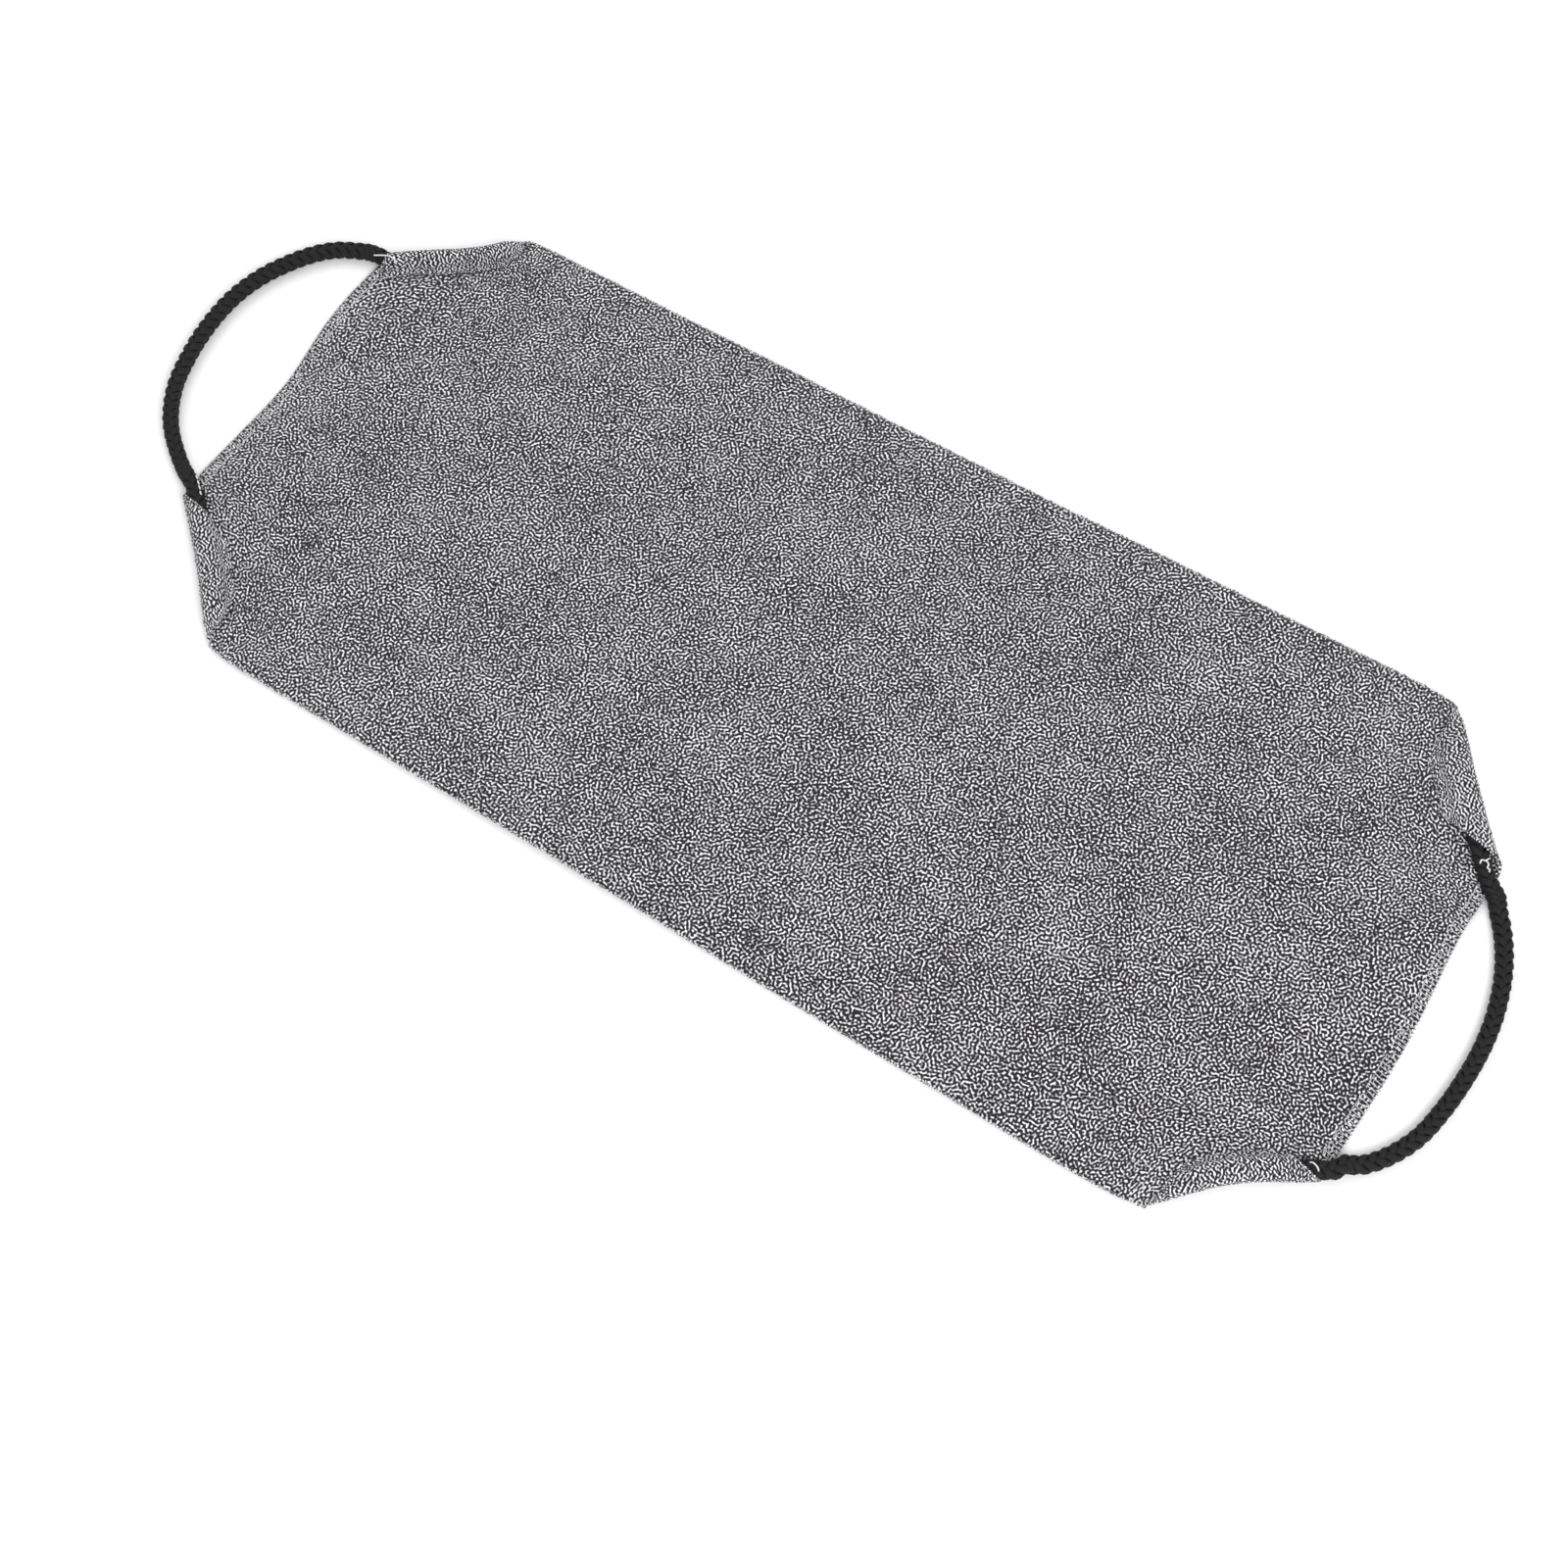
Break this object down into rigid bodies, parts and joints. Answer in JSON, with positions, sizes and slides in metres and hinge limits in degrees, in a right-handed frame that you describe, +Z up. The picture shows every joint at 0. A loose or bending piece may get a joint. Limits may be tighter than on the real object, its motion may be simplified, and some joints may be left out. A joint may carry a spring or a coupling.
{
  "type": "back scrubber",
  "caption": "Flat knitted back scrubber: one long cloth with turned-over corners that hold a braided rope hand loop at each end, so it can be drawn to and fro across the back.",
  "frame": {"origin": "on the surface it lies on, under the middle of the whole piece with its loops laid out", "axes": "+X along the length, from the left loop to the right loop; +Y across the cloth to its rear edge; +Z up, out of the face with the turned corners"},
  "size_m": [0.693, 0.272, 0.0093],
  "materials": {
    "grey_knit": "salt-and-pepper looped knit",
    "black_braid": "braided rope, matte",
    "grey_thread": "sewing thread",
    "white_thread": "sewing thread"
  },
  "bodies": {
    "right_cloth": {"right_cloth_half": "grey_knit", "right_end_overlock": "grey_thread", "right_rear_corner_hem": "grey_knit", "right_front_corner_hem": "grey_knit", "right_rear_rope_tail": "black_braid", "right_front_rope_tail": "black_braid", "right_rear_hem_seam": "grey_thread", "right_front_hem_seam": "grey_thread", "right_rear_mouth_tack": "white_thread", "right_front_mouth_tack": "white_thread"},
    "left_cloth": {"left_cloth_half": "grey_knit", "left_end_overlock": "grey_thread", "left_rear_corner_hem": "grey_knit", "left_front_corner_hem": "grey_knit", "left_rear_rope_tail": "black_braid", "left_front_rope_tail": "black_braid", "left_rear_hem_seam": "grey_thread", "left_front_hem_seam": "grey_thread", "left_rear_mouth_tack": "white_thread", "left_front_mouth_tack": "white_thread"},
    "left_handle": {"left_rope_loop": "black_braid"},
    "right_handle": {"right_rope_loop": "black_braid"}
  },
  "joints": [
    {"name": "cloth_fold", "type": "hinge", "parent": "right_cloth", "child": "left_cloth", "pos_m": [0.00625, 0, 0.00075], "axis": [0, 1, 0], "range_deg": [-150, 150]},
    {"name": "left_handle_swing", "type": "hinge", "parent": "left_cloth", "child": "left_handle", "pos_m": [-0.29825, 0, 0.0048], "axis": [0, 1, 0], "range_deg": [-90, 120]},
    {"name": "right_handle_swing", "type": "hinge", "parent": "right_cloth", "child": "right_handle", "pos_m": [0.31075, 0, 0.0048], "axis": [0, -1, 0], "range_deg": [-90, 120]}
  ]
}
